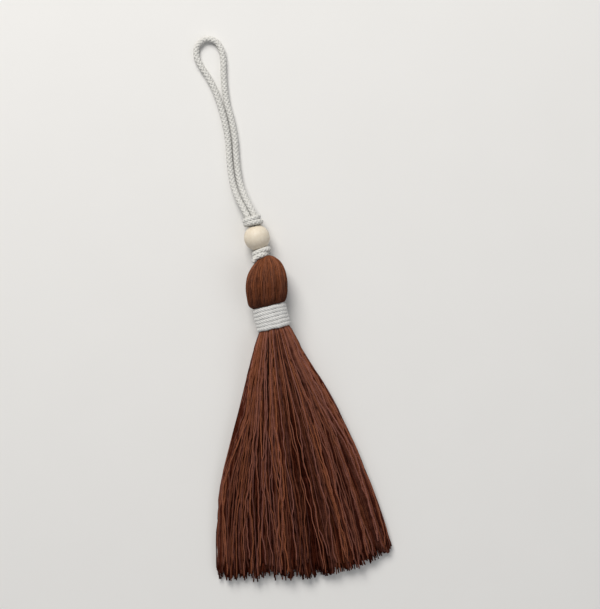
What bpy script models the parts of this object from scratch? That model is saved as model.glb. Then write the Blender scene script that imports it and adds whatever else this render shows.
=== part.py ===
"""A beaded tassel lying on a surface.

A bundle of fine threads is folded into a head, bound at the neck and fanned out into a skirt.
It hangs on a doubled cord, which is knotted on both sides of a wooden bead and ends in a loop.

Sizes are in millimetres and become metres when a mesh is made. The neck's middle is X = Y = 0,
the head points along +Y, and Z = 0 is the surface that the tassel lies on.
"""
from collections import namedtuple
import math

import bmesh
import bpy
import numpy as np

MM = 0.001

# Where the neck's middle stands, so that the part's base is centred on the origin.
NECK_X = 9.9
NECK_Y = 30.4

GAP = 0.3                  # clearance between touching pieces

# Neck wrap
WRAP_CORD = 1.5            # thickness of the winding cord
WRAP_TURNS = 6
WRAP_RADIUS = 6.8          # over the turns
NECK_Z = 7.1               # height of the neck's axis
NECK_RADIUS = WRAP_RADIUS - WRAP_CORD - GAP
WRAP_HALF = WRAP_TURNS * WRAP_CORD / 2
SHOULDER = WRAP_HALF + GAP  # where head and skirt swell out past the wrap

# Bead and knots share one axis, along Y
CHAIN_X = 1.7
CHAIN_Z = 5.3
BEAD_RADIUS = 5.0
BEAD_Y = 31.4
BORE_RADIUS = 1.9
BEAD_STEPS = 12            # points of the bead's outline, from one mouth of the bore to the other
CORE_RADIUS = 1.5          # cord that passes through the bore
LOWER_KNOT_RADIUS = 3.2
LOWER_KNOT_Y = (24.1, 26.4)
UPPER_KNOT_RADIUS = 4.0
UPPER_KNOT_Y = (36.7, 40.4)
KNOT_GROOVE = 0.12         # depth of the groove between a knot's two wraps, as a share of its radius
KNOT_FULLNESS = 1.2        # how squarely a knot's outline swells between its ends
KNOT_STEPS = 12

CORD_DIAMETER = 2.5
CUT_END_DIAMETER = 2.0

# The short cut end of the cord, out of the lower knot and over the head's shoulder.
CUT_END_ROUTE = [(0.7, 25.6, 7.5), (-0.7, 24.6, 8.5), (-1.6, 23.2, 9.7)]

# Thread bundle
AROUND = 64                # points round one section, half of them on the upper side
HEAD_STEPS = 2             # sections made for each row of HEAD
SKIRT_STEPS = 3            # sections made for each row of SKIRT

# The head, from its tip down to the wrap: a section's place along Y, its sideways lean, its half width,
# the height of its axis and its half height.
HeadRow = namedtuple("HeadRow", "along lean half_width axis_z half_height")
HEAD = [
    HeadRow(23.5, 3.3, 1.6, 6.7, 1.5),
    HeadRow(22.5, 3.1, 3.5, 6.8, 3.3),
    HeadRow(20.4, 2.6, 5.8, 7.2, 5.6),
    HeadRow(17.4, 1.9, 7.5, 7.6, 7.3),
    HeadRow(13.4, 1.2, 8.3, 7.9, 8.1),
    HeadRow(9.0, 0.5, 8.15, 7.8, 7.8),
    HeadRow(6.2, 0.0, 7.5, 7.5, 7.0),
    HeadRow(SHOULDER, 0.1, 6.2, 7.2, 6.1),
]
HEAD_TIP_Y = 23.8

# The skirt, from the wrap down to the cut ends. A section's line runs from its left edge through its
# middle to its right edge. axis_z is the height of the edges, rise is from there up to the crown, and
# evenness spreads the points from a round section's to a flat one's.
SkirtRow = namedtuple("SkirtRow", "left_x left_y mid_x mid_y right_x right_y axis_z rise evenness")
SKIRT = [
    SkirtRow(-6.1, -SHOULDER, 0.0, -SHOULDER, 6.1, -SHOULDER, 7.1, 6.1, 0.0),
    SkirtRow(-8.8, -9.0, -0.6, -9.6, 7.4, -9.4, 6.6, 6.2, 0.2),
    SkirtRow(-13.1, -17.0, -1.6, -18.5, 9.6, -18.2, 5.4, 6.1, 0.4),
    SkirtRow(-20.2, -31.0, -3.0, -34.0, 14.6, -33.0, 4.3, 5.9, 0.5),
    SkirtRow(-27.9, -45.2, -4.6, -50.5, 18.4, -48.5, 3.7, 5.5, 0.5),
    SkirtRow(-34.7, -58.6, -6.2, -67.0, 21.2, -64.5, 3.1, 5.0, 0.5),
    SkirtRow(-40.0, -73.5, -8.0, -83.5, 23.4, -81.5, 2.6, 4.3, 0.5),
    SkirtRow(-44.4, -91.0, -9.8, -99.6, 24.6, -98.5, 2.2, 3.3, 0.5),
]
UNDERSIDE_DEPTH = 6.3      # how far a section would reach below its axis; the surface cuts it off flat

# The furrows between the skirt's locks: place across the skirt from -1 (left) to 1 (right), depth as a
# share of the section's rise, half width, and how far the lock to its left reaches past the others.
Furrow = namedtuple("Furrow", "across depth half_width reach")
FURROWS = [
    Furrow(-0.66, 0.16, 0.05, -0.9),
    Furrow(-0.38, 0.12, 0.05, 0.8),
    Furrow(-0.10, 0.24, 0.06, 1.4),
    Furrow(0.20, 0.18, 0.05, -0.6),
    Furrow(0.44, 0.14, 0.05, 0.9),
    Furrow(0.70, 0.18, 0.06, 0.3),
]
LAST_LOCK_REACH = 1.8

# The hanging loop's middle line: up the left strand, round the eye and back down the right strand.
LOOP_ROUTE = [
    (-0.1, 40.8, 4.9), (-0.9, 44.2, 4.1), (-2.0, 48.6, 2.8), (-2.5, 53.5, 1.8), (-2.2, 59.0, 1.35),
    (-1.4, 65.0, 1.3), (-0.4, 71.0, 1.3), (0.05, 78.0, 1.3), (-0.15, 85.0, 1.3), (-0.75, 91.0, 1.3),
    (-2.1, 97.0, 1.3), (-3.8, 101.6, 1.3), (-4.6, 105.8, 1.3), (-3.4, 109.6, 1.3), (0.3, 111.5, 1.3),
    (4.0, 109.8, 1.3), (5.4, 106.0, 1.3), (5.1, 101.6, 1.3), (4.1, 97.0, 1.3), (3.1, 91.0, 1.3),
    (2.65, 85.0, 1.3), (2.85, 78.0, 1.3), (2.4, 71.0, 1.3), (1.4, 65.0, 1.3), (0.6, 59.0, 1.45),
    (0.3, 53.5, 2.0), (0.8, 48.6, 3.3), (1.8, 44.2, 4.9), (2.65, 40.8, 5.6),
]
LOOP_POINTS = 64           # points of the tube, read from a smooth curve through the route

SCREW_STEPS = 32


def clear_scene():
    for obj in list(bpy.data.objects):
        bpy.data.objects.remove(obj, do_unlink=True)
    for group in list(bpy.data.collections):
        bpy.data.collections.remove(group)


def collection(name):
    group = bpy.data.collections.new(name)
    bpy.context.scene.collection.children.link(group)
    return group


def material(name, color, roughness):
    made = bpy.data.materials.new(name)
    made.use_nodes = True
    shader = made.node_tree.nodes["Principled BSDF"]
    shader.inputs["Base Color"].default_value = (*color, 1.0)
    shader.inputs["Roughness"].default_value = roughness
    shader.inputs["Metallic"].default_value = 0.0
    made.diffuse_color = (*color, 1.0)
    return made


def smooth_rows(rows, steps):
    """Rows of numbers on a smooth curve through the given ones, steps of them for each given row."""
    points = [np.array(row, float) for row in rows]
    points = [2 * points[0] - points[1]] + points + [2 * points[-1] - points[-2]]
    made = []
    for i in range(1, len(points) - 2):
        before, start, end, after = points[i - 1:i + 3]
        for step in range(steps):
            t = step / steps
            made.append(0.5 * (2 * start + (end - before) * t
                               + (2 * before - 5 * start + 4 * end - after) * t ** 2
                               + (3 * start - before - 3 * end + after) * t ** 3))
    made.append(points[-2])
    return made


def across_section(evenness):
    """The points round a section: u from -1 at the left edge to 1, and v, 1 at the crown and -1 below."""
    for k in range(AROUND):
        angle = 2 * math.pi * k / AROUND
        turn = angle if angle <= math.pi else 2 * math.pi - angle
        even = 2 * turn / math.pi - 1
        u = (1 - evenness) * -math.cos(turn) + evenness * even
        v = math.sqrt(max(0.0, 1 - u * u))
        yield u, (v if angle <= math.pi else -v)


def head_ring(row):
    row = HeadRow(*row)
    return [(row.lean + row.half_width * u, row.along, max(0.0, row.axis_z + row.half_height * v))
            for u, v in across_section(0.0)]


def neck_ring(along):
    return [(NECK_RADIUS * u, along, NECK_Z + NECK_RADIUS * v) for u, v in across_section(0.0)]


def furrow_share(u):
    """The share of a section's rise that the furrows between the locks take away."""
    return sum(f.depth * math.exp(-((u - f.across) / f.half_width) ** 2) for f in FURROWS)


def lock_reach(u):
    """How far the lock at u reaches past the others, falling off at its sides."""
    left = -1.0
    for furrow in FURROWS + [Furrow(1.0, 0.0, 0.0, LAST_LOCK_REACH)]:
        if u <= furrow.across:
            within = (u - left) / (furrow.across - left)
            return furrow.reach * math.sin(math.pi * within)
        left = furrow.across
    return 0.0


def skirt_ring(row, growth):
    """One section of the skirt. growth runs from 0 at the wrap to 1 at the cut ends."""
    row = SkirtRow(*row)
    left = np.array([row.left_x, row.left_y])
    mid = np.array([row.mid_x, row.mid_y])
    right = np.array([row.right_x, row.right_y])
    slope = (right - left) / 2
    bend = (right + left) / 2 - mid
    down = np.array([mid[0], mid[1] + SHOULDER])
    ends = np.linalg.norm(down) or 1.0
    ring = []
    for u, v in across_section(row.evenness):
        place = mid + slope * u + bend * u * u
        place = place + down / ends * lock_reach(u) * growth ** 4
        if v > 0:
            height = row.axis_z + row.rise * v * (1 - furrow_share(u) * math.sqrt(growth))
        else:
            height = row.axis_z + UNDERSIDE_DEPTH * v
        ring.append((place[0], place[1], max(0.0, height)))
    return ring


def mesh_object(name, mesh, look, group, root):
    made = bpy.data.objects.new(name, mesh)
    mesh.materials.clear()
    mesh.materials.append(look)
    group.objects.link(made)
    made.parent = root
    return made


def lofted(name, rings, tip, look, group, root):
    """A closed body through the rings, which starts at a single tip and ends in a flat cut."""
    shape = bmesh.new()
    rows = [[shape.verts.new([c * MM for c in point]) for point in ring] for ring in rings]
    point = shape.verts.new([c * MM for c in tip])
    for k in range(AROUND):
        after = (k + 1) % AROUND
        shape.faces.new((point, rows[0][k], rows[0][after]))
        for upper, lower in zip(rows, rows[1:]):
            shape.faces.new((upper[k], lower[k], lower[after], upper[after]))
    last = rows[-1]
    half = AROUND // 2
    shape.faces.new((last[0], last[-1], last[1]))
    shape.faces.new((last[half], last[half - 1], last[half + 1]))
    for k in range(1, half - 1):
        shape.faces.new((last[k], last[-k], last[-k - 1], last[k + 1]))
    bmesh.ops.recalc_face_normals(shape, faces=shape.faces)
    mesh = bpy.data.meshes.new(name)
    shape.to_mesh(mesh)
    shape.free()
    mesh.shade_smooth()
    mesh.set_sharp_from_angle(angle=math.radians(50))
    return mesh_object(name, mesh, look, group, root)


def thread_bundle(look, group, root):
    head = [head_ring(row) for row in smooth_rows(HEAD, HEAD_STEPS)]
    neck = [neck_ring(SHOULDER), neck_ring(-SHOULDER)]
    rows = smooth_rows(SKIRT, SKIRT_STEPS)
    skirt = [skirt_ring(row, k / (len(rows) - 1)) for k, row in enumerate(rows)]
    tip = (HEAD[0].lean, HEAD_TIP_Y, HEAD[0].axis_z)
    return lofted("thread_bundle", head + neck + skirt, tip, look, group, root)


def turned(name, profile, closed, x, z, look, group, root):
    """A profile of (radius, place along the axis), turned round an axis along Y."""
    mesh = bpy.data.meshes.new(name)
    count = len(profile)
    edges = [(i, i + 1) for i in range(count - 1)]
    if closed:
        edges.append((count - 1, 0))
    mesh.from_pydata([(radius * MM, 0.0, along * MM) for radius, along in profile], edges, [])
    made = mesh_object(name, mesh, look, group, root)
    made.location = (x * MM, 0.0, z * MM)
    made.rotation_euler = (math.radians(-90), 0.0, 0.0)
    screw = made.modifiers.new("Turn", "SCREW")
    screw.axis = "Z"
    screw.steps = SCREW_STEPS
    screw.render_steps = SCREW_STEPS
    screw.use_merge_vertices = True
    screw.merge_threshold = 0.00001
    screw.use_smooth_shade = True
    return made


def bulge(start, end, inner, outer, steps):
    """A ridge of a turned profile that swells from inner to outer between two places along the axis."""
    points = []
    for i in range(1, steps):
        t = i / steps
        points.append((inner + (outer - inner) * math.sin(math.pi * t), start + (end - start) * t))
    return points


def neck_wrap(look, group, root):
    outer = []
    valley = WRAP_RADIUS - WRAP_CORD * 0.28
    for turn in range(WRAP_TURNS):
        top = WRAP_HALF - turn * WRAP_CORD
        outer.append((valley, top))
        outer += bulge(top, top - WRAP_CORD, valley, WRAP_RADIUS, 3)
    outer.append((valley, -WRAP_HALF))
    inner = WRAP_RADIUS - WRAP_CORD
    profile = outer + [(inner, -WRAP_HALF), (inner, WRAP_HALF)]
    return turned("neck_wrap", profile, True, 0.0, NECK_Z, look, group, root)


def bead(look, group, root):
    mouth = math.asin(BORE_RADIUS / BEAD_RADIUS)
    profile = []
    for i in range(BEAD_STEPS + 1):
        angle = mouth + (math.pi - 2 * mouth) * i / BEAD_STEPS
        profile.append((BEAD_RADIUS * math.sin(angle), BEAD_Y + BEAD_RADIUS * math.cos(angle)))
    return turned("bead", profile, True, CHAIN_X, CHAIN_Z, look, group, root)


def knot_profile(low, high, radius, waist):
    """A rounded lump with two soft ridges, the cord's wraps, without the points on the axis."""
    points = [(waist, high)]
    for i in range(1, KNOT_STEPS):
        t = i / KNOT_STEPS
        lump = min(1.0, KNOT_FULLNESS * math.sqrt(math.sin(math.pi * t)))
        ridges = 1 - KNOT_GROOVE * (1 + math.cos(4 * math.pi * t)) / 2
        points.append((max(waist, radius * lump * ridges), high + (low - high) * t))
    return points + [(waist, low)]


def upper_knot(look, group, root):
    low, high = UPPER_KNOT_Y
    profile = [(0.0, high)] + knot_profile(low, high, UPPER_KNOT_RADIUS, CORE_RADIUS) + [(0.0, low)]
    return turned("upper_knot", profile, False, CHAIN_X, CHAIN_Z, look, group, root)


def as_mesh(obj, name):
    """The evaluated object as a plain mesh object, its loose caps welded."""
    evaluated = obj.evaluated_get(bpy.context.evaluated_depsgraph_get())
    mesh = bpy.data.meshes.new_from_object(evaluated)
    shape = bmesh.new()
    shape.from_mesh(mesh)
    bmesh.ops.remove_doubles(shape, verts=shape.verts, dist=0.000001)
    shape.to_mesh(mesh)
    shape.free()
    made = bpy.data.objects.new(name, mesh)
    made.matrix_world = obj.matrix_world.copy()
    return made


def tube(name, points, diameter, look, group, root):
    line = bpy.data.curves.new(name, "CURVE")
    line.dimensions = "3D"
    line.bevel_depth = diameter / 2 * MM
    line.bevel_resolution = 2
    line.use_fill_caps = True
    spline = line.splines.new("POLY")
    spline.points.add(len(points) - 1)
    for place, point in zip(points, spline.points):
        point.co = (place[0] * MM, place[1] * MM, place[2] * MM, 1.0)
    spline.use_smooth = True
    line.materials.append(look)
    made = bpy.data.objects.new(name, line)
    group.objects.link(made)
    made.parent = root
    return made


def lower_knot(look, group, cutters, root):
    """The knot below the bead, with the cord that runs up through the bore and the short cut end."""
    low, high = LOWER_KNOT_Y
    core_top = UPPER_KNOT_Y[0] - GAP
    profile = [(0.0, core_top), (CORE_RADIUS, core_top)]
    profile += knot_profile(low, high, LOWER_KNOT_RADIUS, CORE_RADIUS) + [(0.0, low)]
    knot = turned("lower_knot", profile, False, CHAIN_X, CHAIN_Z, look, group, root)
    end = tube("cut_end", CUT_END_ROUTE, CUT_END_DIAMETER, look, cutters, root)
    bpy.context.view_layer.update()
    end_mesh = as_mesh(end, "cut_end_shape")
    bpy.data.objects.remove(end, do_unlink=True)
    cutters.objects.link(end_mesh)
    end_mesh.hide_render = True
    end_mesh.display_type = "WIRE"
    join = knot.modifiers.new("Cut end", "BOOLEAN")
    join.operation = "UNION"
    join.solver = "EXACT"
    join.object = end_mesh
    return knot


def hanging_loop(look, group, root):
    fine = smooth_rows(LOOP_ROUTE, 12)
    run = [0.0]
    for start, end in zip(fine, fine[1:]):
        run.append(run[-1] + float(np.linalg.norm(end - start)))
    wanted = np.linspace(0.0, run[-1], LOOP_POINTS)
    fine = np.array(fine)
    points = np.column_stack([np.interp(wanted, run, fine[:, axis]) for axis in range(3)])
    return tube("hanging_loop", points, CORD_DIAMETER, look, group, root)


def build():
    clear_scene()
    group = collection("tassel")
    cutters = collection("tassel_joining_shapes")
    root = bpy.data.objects.new("tassel", None)
    group.objects.link(root)
    root.location = (NECK_X * MM, NECK_Y * MM, 0.0)
    bpy.context.view_layer.update()

    thread = material("brown_thread", (0.16, 0.05, 0.025), 0.75)
    wrap_cord = material("white_wrap_cord", (0.72, 0.70, 0.66), 0.85)
    bead_wood = material("natural_wood", (0.78, 0.60, 0.38), 0.55)
    loop_cord = material("white_loop_cord", (0.74, 0.72, 0.67), 0.85)
    upper_cord = material("white_upper_knot_cord", (0.74, 0.72, 0.67), 0.85)
    lower_cord = material("white_lower_knot_cord", (0.74, 0.72, 0.67), 0.85)

    thread_bundle(thread, group, root)
    neck_wrap(wrap_cord, group, root)
    bead(bead_wood, group, root)
    lower_knot(lower_cord, group, cutters, root)
    upper_knot(upper_cord, group, root)
    hanging_loop(loop_cord, group, root)


build()
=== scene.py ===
"""The looks of a beaded tassel: fine threads, twisted and braided cord, and a wooden bead."""
import math
from collections import namedtuple

import bpy
import numpy as np
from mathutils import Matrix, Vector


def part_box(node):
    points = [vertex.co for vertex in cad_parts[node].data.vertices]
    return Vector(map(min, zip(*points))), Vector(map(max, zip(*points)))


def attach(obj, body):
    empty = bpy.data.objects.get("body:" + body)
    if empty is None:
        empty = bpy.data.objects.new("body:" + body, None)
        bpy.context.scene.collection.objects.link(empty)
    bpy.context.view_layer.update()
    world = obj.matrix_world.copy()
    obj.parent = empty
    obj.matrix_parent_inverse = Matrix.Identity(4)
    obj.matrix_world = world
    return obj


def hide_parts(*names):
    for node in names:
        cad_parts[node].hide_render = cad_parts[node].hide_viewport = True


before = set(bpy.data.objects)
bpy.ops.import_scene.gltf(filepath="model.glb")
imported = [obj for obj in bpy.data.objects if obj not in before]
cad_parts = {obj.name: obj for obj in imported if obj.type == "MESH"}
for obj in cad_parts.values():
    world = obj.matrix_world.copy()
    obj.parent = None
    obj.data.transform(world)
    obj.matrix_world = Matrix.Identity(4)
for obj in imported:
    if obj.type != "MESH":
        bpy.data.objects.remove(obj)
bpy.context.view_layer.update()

MM = 0.001
BODY = "root"

# ---------------------------------------------------------------------------------------------
# Sizes, in millimetres from the neck's middle, as in the model's construction
# ---------------------------------------------------------------------------------------------
wrap_low, wrap_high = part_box("neck_wrap")
bead_low, bead_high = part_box("bead")
upper_low, upper_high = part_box("upper_knot")

NECK_AT = np.array([(wrap_low.x + wrap_high.x) / 2, (wrap_low.y + wrap_high.y) / 2, 0.0])
NECK_Z = (wrap_low.z + wrap_high.z) / 2 / MM
WRAP_RADIUS = (wrap_high.x - wrap_low.x) / 2 / MM
WRAP_HALF = (wrap_high.y - wrap_low.y) / 2 / MM
WRAP_TURNS = 6
WRAP_CORD = 2 * WRAP_HALF / WRAP_TURNS
NECK_RADIUS = WRAP_RADIUS - WRAP_CORD
GAP = 0.3                       # between the model's touching pieces
SHOULDER = WRAP_HALF + GAP      # where head and skirt swell out past the wrap

BEAD_AT = np.array([(bead_low.x + bead_high.x) / 2, (bead_low.y + bead_high.y) / 2,
                    (bead_low.z + bead_high.z) / 2])
BEAD_RADIUS = (bead_high.x - bead_low.x) / 2 / MM
BORE_RADIUS = 1.9
BORE_CORD = 2.9                 # the doubled cord, squeezed together inside the bore
CHAIN_X = (BEAD_AT[0] - NECK_AT[0]) / MM
CHAIN_Z = BEAD_AT[2] / MM
UPPER_KNOT_Y = ((upper_low.y + upper_high.y) / 2 - NECK_AT[1]) / MM
CORD_DIAMETER = 2.5

# The head's sections, from its tip down to the wrap
HeadRow = namedtuple("HeadRow", "along lean half_width axis_z half_height")
HEAD = [
    HeadRow(23.5, 3.3, 1.6, 6.7, 1.5),
    HeadRow(22.5, 3.1, 3.5, 6.8, 3.3),
    HeadRow(20.4, 2.6, 5.8, 7.2, 5.6),
    HeadRow(17.4, 1.9, 7.5, 7.6, 7.3),
    HeadRow(13.4, 1.2, 8.3, 7.9, 8.1),
    HeadRow(9.0, 0.5, 8.15, 7.8, 7.8),
    HeadRow(6.2, 0.0, 7.5, 7.5, 7.0),
    HeadRow(SHOULDER, 0.1, 6.2, 7.2, 6.1),
]
HEAD_FOOT = 0.3                 # the head's threads lie no lower than this

# The skirt's sections, from the wrap down to the cut ends: each runs from its left edge through its
# middle to its right edge. axis_z is the height of the edges, and rise is from there up to the crown.
SkirtRow = namedtuple("SkirtRow", "left_x left_y mid_x mid_y right_x right_y axis_z rise")
SKIRT = [
    SkirtRow(-6.1, -SHOULDER, 0.0, -SHOULDER, 6.1, -SHOULDER, 7.1, 6.1),
    SkirtRow(-8.8, -9.0, -0.6, -9.6, 7.4, -9.4, 6.6, 6.2),
    SkirtRow(-13.1, -17.0, -1.6, -18.5, 9.6, -18.2, 5.4, 6.1),
    SkirtRow(-20.2, -31.0, -3.0, -34.0, 14.6, -33.0, 4.3, 5.9),
    SkirtRow(-27.9, -45.2, -4.6, -50.5, 18.4, -48.5, 3.7, 5.5),
    SkirtRow(-34.7, -58.6, -6.2, -67.0, 21.2, -64.5, 3.1, 5.0),
    SkirtRow(-40.0, -73.5, -8.0, -83.5, 23.4, -81.5, 2.6, 4.3),
    SkirtRow(-44.4, -91.0, -9.8, -99.6, 24.6, -98.5, 2.2, 3.3),
]
UNDERSIDE_DEPTH = 6.3           # how far a section would reach below its axis; the floor cuts it off flat
FLOOR_GAP = 0.02                # between the lowest threads and the floor
HIDDEN_LENGTH = 1.6             # how far inside the wrap the skirt's threads start
NECK_PACKING = 0.97             # the threads' share of the neck's radius there
SPREAD_START = 0.014            # share of the skirt's length in which they come out of the round neck
EDGE_REACH = 0.985              # how far across the skirt the threads start, where 1 is its edge
FURTHEST = 0.995                # and the furthest that their waves take them
SHORTEST, LONGEST = 0.9, 1.028  # bounds of a thread's length, as shares of the skirt's

# The low strip between the skirt's two lobes, painted darker as painted shade, at places down its length:
# its edges, from -1 to 1 across the skirt, and its depth.
LobeEdge = namedtuple("LobeEdge", "down left right drop")
VALLEY = [
    LobeEdge(0.00, 0.00, 0.28, 0.3),
    LobeEdge(0.10, -0.06, 0.33, 0.9),
    LobeEdge(0.30, -0.15, 0.40, 1.5),
    LobeEdge(0.60, -0.20, 0.50, 1.8),
    LobeEdge(0.85, -0.16, 0.52, 1.3),
    LobeEdge(1.10, -0.12, 0.52, 0.6),
]
VALLEY_SHADE = 0.7              # painted shade: how much darker its threads are painted
PARTING = 0.1                   # where the lobes part, across the skirt

# The hanging loop's middle line: up the left strand, round the eye and back down the right strand.
LOOP_ROUTE = [
    (-0.1, 40.8, 4.9), (-0.9, 44.2, 4.1), (-2.0, 48.6, 2.8), (-2.5, 53.5, 1.8), (-2.2, 59.0, 1.35),
    (-1.4, 65.0, 1.3), (-0.4, 71.0, 1.3), (0.05, 78.0, 1.3), (-0.15, 85.0, 1.3), (-0.75, 91.0, 1.3),
    (-2.1, 97.0, 1.3), (-3.8, 101.6, 1.3), (-4.6, 105.8, 1.3), (-3.4, 109.6, 1.3), (0.3, 111.5, 1.3),
    (4.0, 109.8, 1.3), (5.4, 106.0, 1.3), (5.1, 101.6, 1.3), (4.1, 97.0, 1.3), (3.1, 91.0, 1.3),
    (2.65, 85.0, 1.3), (2.85, 78.0, 1.3), (2.4, 71.0, 1.3), (1.4, 65.0, 1.3), (0.6, 59.0, 1.45),
    (0.3, 53.5, 2.0), (0.8, 48.6, 3.3), (1.8, 44.2, 4.9), (2.65, 40.8, 5.6),
]
# The cut end, out of the lower knot and over the head's left shoulder
CUT_END_ROUTE = [(1.0, 24.6, 7.2), (0.1, 24.1, 8.0), (-0.9, 23.4, 8.3), (-1.9, 22.6, 8.1)]


def in_row(points):
    """Millimetres from the neck's middle, as metres in the row frame."""
    return NECK_AT + np.asarray(points, float) * MM


# ---------------------------------------------------------------------------------------------
# Curves and random waves
# ---------------------------------------------------------------------------------------------
def smooth_rows(rows, steps):
    """Rows of numbers on a smooth curve through the given ones, steps of them for each given row."""
    points = [np.array(row, float) for row in rows]
    points = [2 * points[0] - points[1]] + points + [2 * points[-1] - points[-2]]
    made = []
    for i in range(1, len(points) - 2):
        before, start, end, after = points[i - 1:i + 3]
        for step in range(steps):
            t = step / steps
            made.append(0.5 * (2 * start + (end - before) * t
                               + (2 * before - 5 * start + 4 * end - after) * t ** 2
                               + (3 * start - before - 3 * end + after) * t ** 3))
    made.append(points[-2])
    return np.array(made)


def run_along(points):
    """How far along the line each of its points is."""
    return np.concatenate([[0.0], np.cumsum(np.linalg.norm(np.diff(points, axis=0), axis=1))])


def length_of(points):
    return float(run_along(points)[-1])


def evenly(points, count):
    """The same line with count points, spaced evenly along it."""
    points = np.asarray(points, float)
    run = run_along(points)
    wanted = np.linspace(0.0, run[-1], count)
    return np.column_stack([np.interp(wanted, run, points[:, axis]) for axis in range(3)])


def ease(values):
    """A soft start and a soft stop between 0 and 1."""
    values = np.clip(values, 0.0, 1.0)
    return values * values * (3 - 2 * values)


def ranks(rng, count):
    """Places between 0 and 1 side by side, one for each thread, with uneven gaps."""
    return (np.arange(count) + rng.random(count)) / count


def varied(rng, count, low, high):
    """One random number for each thread, as a column."""
    return rng.uniform(low, high, (count, 1))


def wander(rng, count, places, cycles):
    """Smooth random lines, one for each thread, between about -1 and 1 at the given places."""
    total = np.zeros((count, len(places)))
    for weight, factor in ((0.6, 0.55), (0.5, 1.0), (0.35, 1.9)):
        rate = cycles * factor * varied(rng, count, 0.75, 1.25)
        start = varied(rng, count, 0, 2 * math.pi)
        total += weight * np.sin(2 * math.pi * rate * places[None, :] + start)
    return total


def steps_down(count):
    """Shares of a thread's length, from 0 at the neck to 1 at its end, closest together at the neck."""
    return np.linspace(0.0, 1.0, count) ** 1.2


# ---------------------------------------------------------------------------------------------
# Tubes and lofts
# ---------------------------------------------------------------------------------------------
TIP_RISE = 0.4                       # how far a tube's end stands out, as a share of its radius
TWIST_STEP, TWIST_SPAN = 7.31, 11.0  # shifts each tube's twist, so that no two neighbours twist in step
ON_A_PLY = (0.25, 0.0)               # UV of the ends, away from the grooves


def directions(paths):
    tangents = np.gradient(paths, axis=1)
    return tangents / np.maximum(np.linalg.norm(tangents, axis=2, keepdims=True), 1e-12)


def carried_normals(tangents):
    """A normal for each point of each line, which turns as little as it can along the line."""
    count, steps, _ = tangents.shape
    normals = np.zeros_like(tangents)
    side = np.tile(np.array([0.0, 0.0, 1.0]), (count, 1))
    steep = np.abs(tangents[:, 0, 2]) > 0.8
    side[steep] = (1.0, 0.0, 0.0)
    for step in range(steps):
        along = tangents[:, step]
        side = side - along * (side * along).sum(1, keepdims=True)
        side /= np.maximum(np.linalg.norm(side, axis=1, keepdims=True), 1e-12)
        normals[:, step] = side
    return normals


def tube_points(paths, radii, sides):
    """The rings of points round each path, and then the tips of both its ends."""
    tangents = directions(paths)
    normals = carried_normals(tangents)
    across = np.cross(tangents, normals)
    angles = 2 * math.pi * np.arange(sides) / sides
    ring = (np.cos(angles)[None, None, :, None] * normals[:, :, None]
            + np.sin(angles)[None, None, :, None] * across[:, :, None])
    walls = paths[:, :, None] + radii[:, :, None, None] * ring
    tips = np.stack([paths[:, 0] - tangents[:, 0] * radii[:, :1] * TIP_RISE,
                     paths[:, -1] + tangents[:, -1] * radii[:, -1:] * TIP_RISE], axis=1)
    return np.concatenate([walls.reshape(-1, 3), tips.reshape(-1, 3)])


def tube_faces(count, steps, sides):
    """The four-sided faces of the walls and the three-sided ones of the ends, as numbers of points."""
    wall_count = count * steps * sides
    index = np.arange(wall_count).reshape(count, steps, sides)
    after = np.roll(index, -1, axis=2)
    quads = np.stack([index[:, :-1], after[:, :-1], after[:, 1:], index[:, 1:]], axis=-1)
    tip = np.repeat((wall_count + 2 * np.arange(count))[:, None], sides, axis=1)
    start_caps = np.stack([tip, after[:, 0], index[:, 0]], axis=-1)
    end_caps = np.stack([tip + 1, index[:, -1], after[:, -1]], axis=-1)
    return quads.reshape(-1, 4), np.concatenate([start_caps.reshape(-1, 3), end_caps.reshape(-1, 3)])


def wall_uvs(paths, sides):
    """Round the tube and millimetres along it, for each corner of the walls' faces."""
    count = len(paths)
    steps = np.linalg.norm(np.diff(paths, axis=1), axis=2)
    run = np.concatenate([np.zeros((count, 1)), np.cumsum(steps, axis=1)], axis=1)
    run += (np.arange(count) * TWIST_STEP % TWIST_SPAN)[:, None]
    run_low = np.repeat(run[:, :-1, None], sides, axis=2)
    run_high = np.repeat(run[:, 1:, None], sides, axis=2)
    turn = np.broadcast_to(np.arange(sides) / sides, run_low.shape)
    corners = [(turn, run_low), (turn + 1 / sides, run_low), (turn + 1 / sides, run_high), (turn, run_high)]
    return np.stack([np.stack(corner, axis=-1) for corner in corners], axis=-2).reshape(-1, 2)


def add_attribute(mesh, name, values):
    mesh.attributes.new(name, "FLOAT", "POINT").data.foreach_set("value", values.astype(np.float32))


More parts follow.
